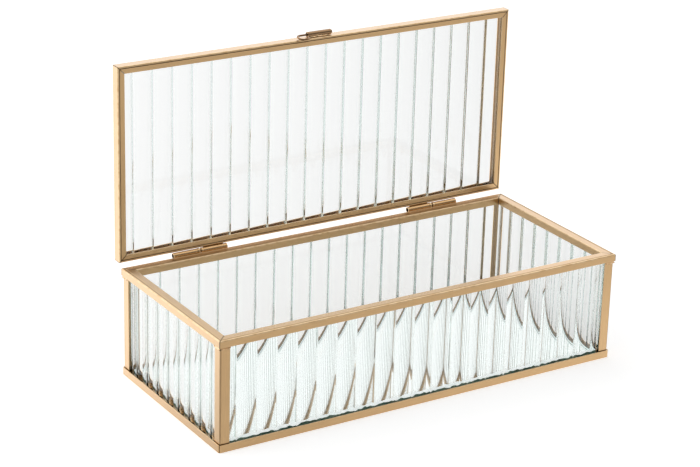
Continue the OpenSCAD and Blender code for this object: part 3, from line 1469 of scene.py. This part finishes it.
@dataclass
class HeadSolder:
    """The solder that joins each post's head to the rim above it."""

    plan: Plan
    bend: float = STOCK.post_set * math.pi / 2
    lump_size: float = 1.1 * MM
    unevenness: float = 0.4
    thin_end: float = 1.2 * MM
    step: float = 0.25 * MM

    @property
    def length(self) -> float:
        """The solder's length round one post."""
        return 2 * STOCK.post_leg + self.bend

    def section(self) -> Outline:
        """The solder's section: distances inwards from the rim's outer face, and heights from its lip.

        Returns:
            The section.
        """
        deep, tall = STOCK.post_set, STOCK.collar_height
        edge = 0.05 * MM
        # Painted shade in the recess under the rim, a painted highlight on the upper slope of the bulge, and
        # a little painted shade along its lower edge
        corners = [(0.9 * deep, 0.0, 0.0, DARK_SHADE), (0.9 * deep, -0.12 * tall, 0.0, DARK_SHADE)]
        corners += [(0.86 * deep, -0.16 * tall, 0.0, STRONG_HIGHLIGHT), (0.04 * deep, -0.68 * tall, edge, STRONG_HIGHLIGHT)]
        corners += [(0.1 * deep, -0.8 * tall, edge, 0.0), (0.8 * deep, -tall, edge, -0.7)]
        corners += [(deep, -tall, 0.0), (deep, 0.0, 0.0)]
        return rounded_outline(corners)

    def build(self) -> Object:
        """Builds the solder of all four posts as one piece.

        Returns:
            The solder.
        """
        outline = self.section()
        stations = spread(self.length, self.step)
        fold_start, fold_end = STOCK.post_leg, STOCK.post_leg + self.bend
        # Painted shade where the solder goes round the post's fold
        marks = [DEEP_SHADE if fold_start < s < fold_end else 0.0 for s in stations]
        skin = Skin()
        for right, back in CORNERS:
            place = self.plan.at_corner(right, back)
            seed = 5.0 * right + 2.0 * back

            def at(point: Vector, s: float) -> Vector:
                """Places a point of the section round this corner, with the lower edge uneven."""
                return place @ self.round_corner(point, s, seed)

            skin.sweep(outline, stations, at, marks)
        return skin.build("post_head_solder")

    def round_corner(self, point: Vector, s: float, seed: float) -> Vector:
        """Leads the solder along one face of a post, round its fold and along the other face.

        Args:
            point: A point of the section.
            s: The distance along the solder.
            seed: A number that gives each corner its own lumps.

        Returns:
            The point, at the front left corner.
        """
        deep, tall, straight = STOCK.post_set, STOCK.collar_height, STOCK.post_leg
        reach = deep + straight
        inward = point.x
        if s < straight:
            x, y = inward, reach - s
        elif s > straight + self.bend:
            x, y = deep + s - straight - self.bend, inward
        else:
            angle = (s - straight) / deep
            x = deep - (deep - inward) * math.cos(angle)
            y = deep - (deep - inward) * math.sin(angle)
        ease = min(1.0, min(s, self.length - s) / self.thin_end)
        rough = 1 + lump(Vector((x, y, 0.0)), self.lump_size, self.unevenness, seed)
        drop = max(-tall, point.y * min(1.0, (0.6 + 0.4 * ease) * rough))
        return Vector((x, y, self.plan.rim_z - STOCK.channel_leg + drop))


@dataclass
class BoxFrame:
    """The foot, the rim and the four corner posts with their solder."""

    plan: Plan
    finishes: Finishes

    def build(self) -> None:
        """Builds and dresses the frame."""
        brass = (self.finishes.brass,)
        for side in Side:
            self.rail("foot", side, foot_section(), 0.0, STOCK.foot_corner)
            self.rail("rim", side, rim_section(), self.plan.rim_z, 0.0)
        for right, back in CORNERS:
            post = CornerPost(self.plan, right, back)
            dress(post.build(), brass, "brass", "box", post.node)
        dress(HeadSolder(self.plan).build(), (self.finishes.solder,), "solder", "box", "post_solder")

    def rail(self, kind: str, side: Side, outline: Outline, height: float, bend: float) -> None:
        """Builds and dresses one rail of the foot or the rim.

        Args:
            kind: The first word of its name.
            side: The side it runs along.
            outline: Its section.
            height: The height of the section's zero.
            bend: The radius of the frame's corners.
        """
        node_name = f"{kind}_{side.word}"
        place = self.plan.at_side(side, height)
        rail = MitredRail(f"{node_name}_folded", outline, self.plan.length(side), place, bend)
        dress(rail.build(), (self.finishes.brass,), "brass", "box", node_name)


@dataclass
class LidFrame:
    """The lid's four rails, drawn on the closed lid and swung open."""

    plan: Plan
    finishes: Finishes

    def build(self) -> None:
        """Builds and dresses the rails."""
        words = {Side.FRONT: "free", Side.RIGHT: "right", Side.BACK: "hinge", Side.LEFT: "left"}
        for side, word in words.items():
            place = self.plan.on_lid() @ self.plan.at_side(side, self.plan.lid_z)
            rail = MitredRail(f"lid_rail_{word}_folded", lid_section(), self.plan.length(side), place)
            dress(rail.build(), (self.finishes.brass,), "brass", "lid", f"lid_rail_{word}")


# Tubes and hinges


@dataclass(frozen=True)
class Tube:
    """A short drawn tube along X. Its open ends have a wide mouth, its joint ends a low ring of solder."""

    radius: float
    bore: float
    mouth: float
    mouth_depth: float
    edge: float = 0.12 * MM
    bead: float = 0.08 * MM
    bead_lump: float = 0.9 * MM
    bead_roughness: float = 0.02
    steps: int = 40

    def half_wall(self, is_open: bool) -> list[tuple[float, float, float]]:
        """One end of the tube's wall, from the bore outwards.

        Args:
            is_open: Whether this end is open to sight, and not at a joint.

        Returns:
            Distances from the end, radii and marks.
        """
        mouth = self.mouth if is_open else self.bore
        # Painted shade inside the bore and on the end face round it, darkest at a joint; an open end gets a
        # painted highlight round its chamfered rim
        wall = [(self.mouth_depth, self.bore, FULL_SHADE), (self.mouth_depth, mouth, FULL_SHADE)]
        wall += [(self.edge, mouth, FULL_SHADE), (0.0, mouth, LIGHT_SHADE if is_open else DARK_SHADE)]
        if is_open:
            chamfer = 0.3 * self.edge
            wall += [(0.0, self.radius - self.edge, 0.6), (chamfer, self.radius - chamfer, STRONG_HIGHLIGHT)]
            return wall + [(self.edge, self.radius, 0.4), (0.5 * MM, self.radius, 0.0)]
        # The solder rises at the joint, with painted shade where it meets the tube's end and a painted
        # highlight on its crest, and runs out on the tube with a little painted shade
        wall += [(0.0, self.radius - self.edge, -0.7), (self.edge, self.radius + 0.5 * self.bead, 0.3)]
        crest = self.radius + self.bead
        wall += [(0.4 * MM, crest, STRONG_HIGHLIGHT), (0.8 * MM, self.radius + 0.8 * self.bead, SOFT_HIGHLIGHT)]
        return wall + [(1.1 * MM, self.radius, -0.5), (1.5 * MM, self.radius, 0.0)]

    def add(
        self, skin: Skin, axis: Vector, span: tuple[float, float], low_open: bool, high_open: bool
    ) -> None:
        """Adds the tube to a mesh.

        Args:
            skin: The mesh in the making.
            axis: A point on the tube's axis.
            span: Where the tube starts and ends along X.
            low_open: Whether its start is open to sight.
            high_open: Whether its end is open to sight.
        """
        walls = [(span[0] + along, radius, mark) for along, radius, mark in self.half_wall(low_open)]
        far_end = reversed(self.half_wall(high_open))
        walls += [(span[1] - along, radius, mark) for along, radius, mark in far_end]
        first = len(skin.faces)
        loops = []
        for x, radius, mark in walls:
            points = []
            for i in range(self.steps):
                angle = math.tau * i / self.steps
                spoke = Vector((x - axis.x, radius * math.cos(angle), radius * math.sin(angle)))
                if radius > self.radius:
                    spoke.yz *= 1 + lump(spoke, self.bead_lump, self.bead_roughness, span[0])
                points.append(axis + spoke)
            loops.append(skin.ring(points, [mark] * self.steps))
        across = [math.tau * self.radius * i / self.steps for i in range(self.steps + 1)]
        for i, loop in enumerate(loops):
            j = (i + 1) % len(loops)
            skin.bridge(loop, loops[j], (walls[i][0], walls[j][0]), across)
        skin.face_outwards(first)


@dataclass
class Knuckle:
    """One knuckle of a hinge: a tube, soldered to the back face of the box or of the lid."""

    node: str
    on_lid: bool
    axis: Vector
    low_open: bool
    seed: float
    tube: Tube = Tube(1.3 * MM, 0.7 * MM, 0.98 * MM, 1.8 * MM)
    root: float = 0.25 * MM
    fillet: float = 2.6 * MM
    inset: float = 1.5 * MM
    thin_end: float = 0.8 * MM
    lump_size: float = 1.4 * MM
    lump_height: float = 0.32 * MM
    step: float = 0.3 * MM

    def build(self) -> Object:
        """Builds the tube and its solder as one piece.

        Returns:
            The knuckle.
        """
        low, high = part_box(self.node)
        skin = Skin()
        self.tube.add(skin, self.axis, (low.x, high.x), self.low_open, not self.low_open)
        skin.current = 1
        self.solder(skin, low.x + self.inset, high.x - self.inset)
        return skin.build(f"{self.node}_soldered")

    def section(self) -> Outline:
        """The solder's section: distances out from the frame's back face, and from the tube's axis.

        Returns:
            The section.
        """
        radius = self.tube.radius
        # Painted shade at the solder's root against the frame, along its outer edge and where it meets the
        # tube, with a soft painted highlight on its rounded middle
        corners = [(0.0, self.root, 0.0, DEEP_SHADE), (0.0, self.fillet, 0.1 * MM, HALF_SHADE)]
        corners += [(0.45 * MM, 0.72 * self.fillet, 0.3 * MM), (radius, 0.98 * radius, 0.2 * MM, LIGHT_SHADE)]
        return rounded_outline([*corners, (radius, 0.4 * MM, 0.0, DEEP_SHADE)])

    def solder(self, skin: Skin, start: float, end: float) -> None:
        """Adds the lumpy fillet between the tube and the frame: below it on the box, behind it on the lid.

        Args:
            skin: The mesh in the making.
            start: Where the fillet starts along X.
            end: Where it ends.
        """
        radius = self.tube.radius
        length = end - start

        def at(point: Vector, s: float) -> Vector:
            """Places a point of the section, with lumps and with thinner ends.

            Args:
                point: The point of the section.
                s: The distance along the fillet.

            Returns:
                The point in space.
            """
            x = start + s
            ease = taper(s, length, self.thin_end, 0.03)
            rough = lump(Vector((x, point.x, point.y)), self.lump_size, self.lump_height, self.seed)
            # Lumps show where the solder touches neither the frame nor the tube
            out = point.x + (rough * 1.2 if 0 < point.x < 1.2 * MM else 0.0)
            rise = self.root + (point.y - self.root) * ease
            if point.y > 1.5 * MM:
                rise += rough * ease
            out = max(0.0, out * (0.6 + 0.4 * ease))
            if self.on_lid:
                return Vector((x, self.axis.y + rise, self.axis.z + radius - out))
            return Vector((x, self.axis.y - radius + out, self.axis.z - rise))

        skin.sweep(self.section(), spread(length, self.step), at)


@dataclass
class Hinges:
    """Two hinges of four tubes and two pins. The pins keep their CAD shape."""

    plan: Plan
    finishes: Finishes

    def build(self) -> None:
        """Builds and dresses the knuckles."""
        metals = (self.finishes.tube, self.finishes.solder)
        for word, is_left in (("left", True), ("right", False)):
            for part, on_lid in (("fixed", False), ("lid", True)):
                name = f"hinge_{word}_{part}_knuckle"
                seed = 3.0 * is_left + 1.7 * on_lid
                knuckle = Knuckle(name, on_lid, self.plan.hinge, is_left != on_lid, seed)
                dress(knuckle.build(), metals, "brass", "lid" if on_lid else "box", name)


# Clasp


@dataclass
class Clasp:
    """The tube on the lid's free edge and the wire loop that turns in it."""

    finishes: Finishes
    axis: Vector
    tube_stock: Tube = Tube(1.25 * MM, 0.51 * MM, 0.82 * MM, 0.8 * MM)
    fillet_foot: float = 1.7 * MM
    fillet_inset: float = 0.7 * MM
    fillet_step: float = 0.3 * MM
    lump_size: float = 1.3 * MM
    lump_height: float = 0.34 * MM
    wire: float = 0.45 * MM
    dip: float = 8.0
    loop_width: float = 5.6 * MM
    loop_reach: float = 4.8 * MM
    bend: float = 1.7 * MM
    end_play: float = 0.2 * MM
    eye_radius: float = 0.5 * MM
    eye_wire: float = 0.25 * MM
    eye_turn: float = 0.97
    eye_steps: int = 24
    # The head's distances from the tube and its radii, in millimetres
    head: tuple[tuple[float, float], ...] = ((0.0, 0.6), (0.1, 0.85), (0.25, 0.85), (0.4, 0.75), (0.5, 0.4))

    def build(self) -> None:
        """Builds and dresses the tube and the loop."""
        metals = (self.finishes.clasp_tube, self.finishes.solder)
        dress(self.tube(), metals, "brass", "lid", "clasp_tube")
        dress(self.loop(), (self.finishes.wire,), "brass", "clasp", "clasp_loop")

    def tube(self) -> Object:
        """Builds the tube with the solder that holds it.

        Returns:
            The tube.
        """
        low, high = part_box("clasp_tube")
        skin = Skin()
        self.tube_stock.add(skin, self.axis, (low.x, high.x), True, True)
        skin.current = 1
        for sense in (-1.0, 1.0):
            self.fillet(skin, low.x + self.fillet_inset, high.x - low.x, low.z, sense)
        return skin.build("clasp_tube_soldered")

    def fillet(self, skin: Skin, start: float, length: float, floor: float, sense: float) -> None:
        """Adds a lumpy fillet of solder along one side of the tube.

        Args:
            skin: The mesh in the making.
            start: Where the fillet starts along X.
            length: The tube's length.
            floor: The height of the lid's edge, which the tube rests on.
            sense: Which side of the tube, by the sign of Y.
        """
        foot = self.fillet_foot
        # Painted shade along the fillet's foot, its top edge and where it meets the tube, with a soft
        # painted highlight on its rounded shoulder
        corners = [(0.0, 0.0, 0.0, DEEP_SHADE), (foot, 0.0, 0.1 * MM, DEEP_SHADE), (1.15 * MM, 0.5 * MM, 0.2 * MM)]
        corners += [(1.1 * MM, 1.15 * MM, 0.15 * MM, HALF_SHADE), (0.0, 1.1 * MM, 0.0, DEEP_SHADE)]
        run = length - 2 * self.fillet_inset

        def at(point: Vector, s: float) -> Vector:
            """Places a point of the section, with lumps and with thinner ends.

            Args:
                point: The point of the section.
                s: The distance along the fillet.

            Returns:
                The point in space.
            """
            x = start + s
            ease = taper(s, run, MM, 0.05)
            spot = Vector((x, point.x, sense * point.y))
            rough = lump(spot, self.lump_size, self.lump_height, 4.0 + sense)
            out = point.x * (0.7 + 0.3 * ease) + (rough if point.x > 0.5 * MM else 0.0)
            rise = max(0.0, point.y * (0.55 + 0.45 * ease) + (rough if point.y > 0.3 * MM else 0.0))
            return Vector((x, self.axis.y + sense * out, floor + rise))

        skin.sweep(rounded_outline(corners), spread(run, self.fillet_step), at)

    def loop(self) -> Object:
        """Builds the wire: its head, its run through the tube, the loop and the small eye.

        Returns:
            The wire.
        """
        tube_low, tube_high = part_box("clasp_tube")
        half = (tube_high.x - tube_low.x) / 2
        near = -half - self.end_play - self.wire
        far = near - (self.loop_width - 2 * self.wire)
        reach = self.loop_reach - self.wire
        head_x = half + self.end_play
        place = Matrix.Translation(self.axis) @ Matrix.Rotation(math.radians(self.dip - 180), 4, "X")
        corners = [Vector((head_x, 0, 0)), Vector((far, 0, 0)), Vector((far, reach, 0))]
        corners += [Vector((near, reach, 0)), Vector((near, reach / 2, 0))]
        skin = Skin()
        wire = bent_path(corners, self.bend)
        self.rod(skin, place, wire, [self.wire] * len(wire))
        eye = self.eye_path(near + self.eye_radius, reach / 2)
        self.rod(skin, place, eye, [self.eye_wire] * len(eye))
        button = [Vector((head_x + along * MM, 0, 0)) for along, _ in self.head]
        self.rod(skin, place, button, [radius * MM for _, radius in self.head])
        return skin.build("clasp_loop_wire")

    def eye_path(self, middle: float, y: float) -> list[Vector]:
        """The small eye at the wire's end, nearly a full turn in the plane of X and Z.

        Args:
            middle: Its centre's X.
            y: Its place along Y.

        Returns:
            The points of its path.
        """
        path = []
        for i in range(self.eye_steps + 1):
            angle = math.pi + math.tau * i / self.eye_steps * self.eye_turn
            x = middle + self.eye_radius * math.cos(angle)
            path.append(Vector((x, y, self.eye_radius * math.sin(angle))))
        return path

    def rod(self, skin: Skin, place: Matrix, path: Sequence[Vector], radii: Sequence[float]) -> None:
        """Adds a round rod along a path.

        Args:
            skin: The mesh in the making.
            place: Where the path is drawn.
            path: The path's points.
            radii: The rod's radius at each of them.
        """
        stations = [0.0]
        for here, there in zip(path, path[1:]):
            stations.append(stations[-1] + (there - here).length)
        placed = dict(zip(stations, zip(along_path(path), radii)))

        def at(point: Vector, s: float) -> Vector:
            """Places a point of the unit circle at a distance along the path."""
            matrix, size = placed[s]
            return place @ matrix @ Vector((size * point.x, size * point.y, 0.0))

        skin.sweep(unit_circle(20), stations, at)


# Studio


@dataclass(frozen=True)
class Gradient:
    """Light that changes smoothly along a direction, from a level to another over a span of distances."""

    direction: tuple[float, float, float]
    span: tuple[float, float]
    levels: tuple[float, float]

    def shade(self, tree: NodeTree, place: NodeSocket) -> NodeSocket:
        """Adds the nodes that give the level at a place, or in a direction.

        Args:
            tree: The node tree.
            place: The place or the direction.

        Returns:
            The level.
        """
        along = node(tree, "VectorMath", operation="DOT_PRODUCT")
        along.inputs[1].default_value = Vector(self.direction).normalized()
        feed(tree, along.inputs[0], place)
        return between(tree, along.outputs["Value"], self.span, self.levels)


@dataclass(frozen=True)
class Softbox:
    """A soft square lamp that faces the object."""

    name: str
    place: tuple[float, float, float]
    size: float
    power: float

    def build(self) -> None:
        """Builds the lamp, which metal and paper see and glass does not."""
        light = bpy.data.lights.new(self.name, "AREA")
        light.size = self.size
        light.energy = self.power
        lamp = bpy.data.objects.new(self.name, light)
        lamp.visible_transmission = False
        place = Vector(self.place)
        aim = (-place).to_track_quat("-Z", "Y").to_matrix().to_4x4()
        lamp.matrix_world = Matrix.Translation(place) @ aim
        bpy.context.scene.collection.objects.link(lamp)


def seen_by(tree: NodeTree, otherwise: Value, levels: dict[str, Value]) -> NodeSocket:
    """Chooses a level by the kind of ray that meets the surface.

    Args:
        tree: The node tree.
        otherwise: The level for all other rays.
        levels: The level for each named output of the Light Path node, of which the last that holds counts.

    Returns:
        The level.
    """
    path = node(tree, "LightPath")
    level = otherwise
    for ray, seen in levels.items():
        level = mix(tree, Blend.NUMBERS, path.outputs[ray], level, seen)
    return level


@dataclass
class Studio:
    """A white floor and surround, brighter behind the object than towards the camera, and two soft lamps.

    Metal sees a gradient on the floor and in the surround. Glass sees a greyer floor, so that the paper
    below doesn't burn out, and a gentler gradient. The camera finds white paper all round. Light may turn
    often, because much of it is caught between the flutes and the flat faces of the panes.
    """

    floor_size: float = 8.0
    floor_colour: tuple[float, float, float] = (0.93, 0.93, 0.93)
    floor_white: float = 0.56
    floor_in_glass: float = 0.33
    floor_in_metal: Gradient = Gradient((0.3, 0.95, 0.0), (-0.12, 0.06), (0.33, 1.05))
    in_metal: Gradient = Gradient((0.55, 0.72, 0.42), (-0.1, 0.4), (0.28, 1.35))
    in_glass: Gradient = Gradient((0.55, 0.72, 0.42), (-0.2, 0.5), (0.6, 1.15))
    fill: float = 0.45
    mirror_turns: int = 12
    glass_turns: int = 24
    lamps: tuple[Softbox, ...] = (
        Softbox("back softbox", (-0.35, 1.0, 1.1), 1.3, 5.0),
        Softbox("left softbox", (-1.2, 0.1, 0.7), 0.9, 3.0),
    )

    def build(self) -> None:
        """Builds the floor, the lamps and the world."""
        scene = bpy.context.scene
        scene.view_settings.view_transform = "Standard"
        scene.cycles.max_bounces = self.glass_turns
        scene.cycles.transmission_bounces = self.glass_turns
        scene.cycles.glossy_bounces = self.mirror_turns
        self.floor()
        self.world()
        for lamp in self.lamps:
            lamp.build()

    def floor(self) -> None:
        """Builds the floor, which takes the object's shadow and shows as white paper."""
        half = self.floor_size / 2
        mesh = bpy.data.meshes.new("floor")
        corners = [(-half, -half, 0), (half, -half, 0), (half, half, 0), (-half, half, 0)]
        mesh.from_pydata(corners, [], [(0, 1, 2, 3)])
        floor = bpy.data.objects.new("floor", mesh)
        bpy.context.scene.collection.objects.link(floor)
        material, tree, shader = new_material("white paper")
        pool = self.floor_in_metal.shade(tree, node(tree, "TexCoord").outputs["Object"])
        levels = {
            "Is Glossy Ray": pool,
            "Is Transmission Ray": self.floor_in_glass,
            "Is Camera Ray": self.floor_white,
        }
        looks = {
            "Base Color": self.floor_colour,
            "Roughness": 0.9,
            "Specular IOR Level": 0.0,
            "Emission Color": (1.0, 1.0, 1.0),
            "Emission Strength": seen_by(tree, 0.0, levels),
        }
        fill(tree, shader, looks)
        mesh.materials.append(material)

    def world(self) -> None:
        """Builds the surround."""
        world = bpy.data.worlds.new("studio")
        bpy.context.scene.world = world
        world.use_nodes = True
        tree = world.node_tree
        place = node(tree, "TexCoord").outputs["Generated"]
        levels = {
            "Is Glossy Ray": self.in_metal.shade(tree, place),
            "Is Transmission Ray": self.in_glass.shade(tree, place),
            "Is Camera Ray": 1.0,
        }
        looks = {"Color": (1.0, 1.0, 1.0), "Strength": seen_by(tree, self.fill, levels)}
        fill(tree, first_of(tree, "BACKGROUND"), looks)


@dataclass(frozen=True)
class PhotoCamera:
    """The photograph's viewpoint, found from the object's corners."""

    place: tuple[float, float, float] = (-0.496554, -0.766959, 0.417832)
    yaw: float = 32.392
    pitch: float = 21.305
    roll: float = 1.657
    lens: float = 115.74
    sensor: float = 36.0
    nearest: float = 0.01

    def build(self) -> None:
        """Builds the camera and makes it the scene's."""
        yaw, pitch, roll = (math.radians(angle) for angle in (self.yaw, self.pitch, self.roll))
        ahead = Vector((math.sin(yaw) * math.cos(pitch), math.cos(yaw) * math.cos(pitch), -math.sin(pitch)))
        level = Vector((math.cos(yaw), -math.sin(yaw), 0.0))
        upright = level.cross(ahead)
        right = math.cos(roll) * level + math.sin(roll) * upright
        up = -math.sin(roll) * level + math.cos(roll) * upright
        lens = bpy.data.cameras.new("photo")
        lens.lens = self.lens
        lens.sensor_width = self.sensor
        lens.clip_start = self.nearest
        camera = bpy.data.objects.new("photo", lens)
        turn = Matrix((right, up, -ahead)).transposed().to_4x4()
        camera.matrix_world = Matrix.Translation(self.place) @ turn
        bpy.context.scene.collection.objects.link(camera)
        bpy.context.scene.camera = camera


def main() -> None:
    """Builds the object's sub-assemblies in order, then the studio and the camera."""
    logging.basicConfig(level=logging.INFO, format="%(name)s: %(message)s")
    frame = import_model()
    plan = Plan.read()
    finishes = Finishes.make()
    for name, piece in frame["nodes"].items():
        piece.data.materials.clear()
        piece.data.materials.append(finishes.fluted if name.endswith("glass") else finishes.brass)
    clasp_axis = next(Vector(j["pos_m"]) for j in frame["joints"] if j["name"] == "clasp_swivel")
    Glazing(finishes).build()
    BoxFrame(plan, finishes).build()
    LidFrame(plan, finishes).build()
    Hinges(plan, finishes).build()
    Clasp(finishes, clasp_axis).build()
    Studio().build()
    PhotoCamera().build()


if __name__ == "__main__":
    main()
